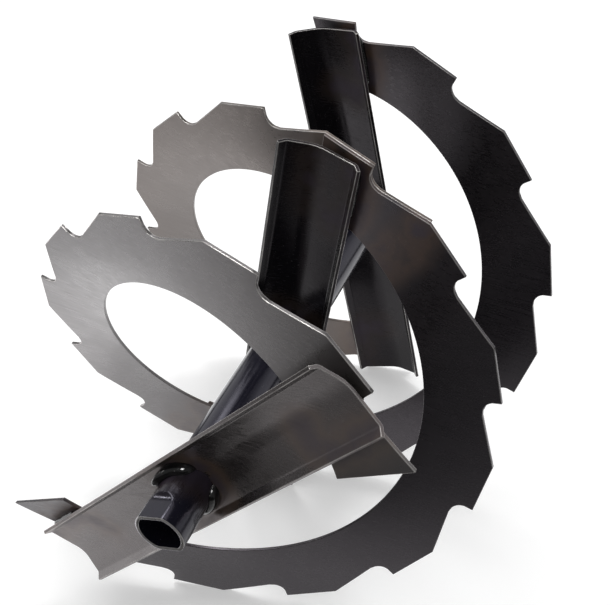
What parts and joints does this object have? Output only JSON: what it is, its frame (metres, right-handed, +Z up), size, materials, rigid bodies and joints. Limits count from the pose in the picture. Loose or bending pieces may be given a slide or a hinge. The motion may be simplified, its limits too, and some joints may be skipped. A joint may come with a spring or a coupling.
{
  "type": "snow blower auger",
  "caption": "Welded ribbon auger for a two-stage snow blower: toothed helical flights carried on a bored tube by formed cross arms.",
  "frame": {"origin": "centre of the shaft bore at the tube's plain far mouth, on the auger's axis", "axes": "+Y along the tube's axis, from the flatted mouth to the plain one; +Z up as the auger lies on its teeth; the right strand starts at +X and winds towards +Z as it runs along +Y"},
  "size_m": [0.3047, 0.3208, 0.305],
  "materials": {
    "tube": "semi-gloss black coating on steel tube",
    "arm": "semi-gloss black coating on formed sheet steel, with brown heat tint near the welds",
    "ribbon": "semi-gloss black coating on sheet steel, with bright sheared edges",
    "weld": "glossy black coating on weld beads"
  },
  "bodies": {
    "root": {"shaft_tube": "tube", "front_arm": "arm", "middle_arm": "arm", "rear_arm": "arm", "front_right_flight": "ribbon", "front_left_flight": "ribbon", "rear_right_flight": "ribbon", "rear_left_flight": "ribbon", "front_arm_near_tube_weld": "weld", "front_arm_far_tube_weld": "weld", "middle_arm_near_tube_weld": "weld", "middle_arm_far_tube_weld": "weld", "rear_arm_near_tube_weld": "weld", "rear_arm_far_tube_weld": "weld", "front_right_seat_weld": "weld", "front_left_seat_weld": "weld", "middle_right_seat_weld": "weld", "middle_left_seat_weld": "weld", "rear_right_seat_weld": "weld", "rear_left_seat_weld": "weld", "right_lap_weld": "weld", "left_lap_weld": "weld"}
  },
  "joints": []
}
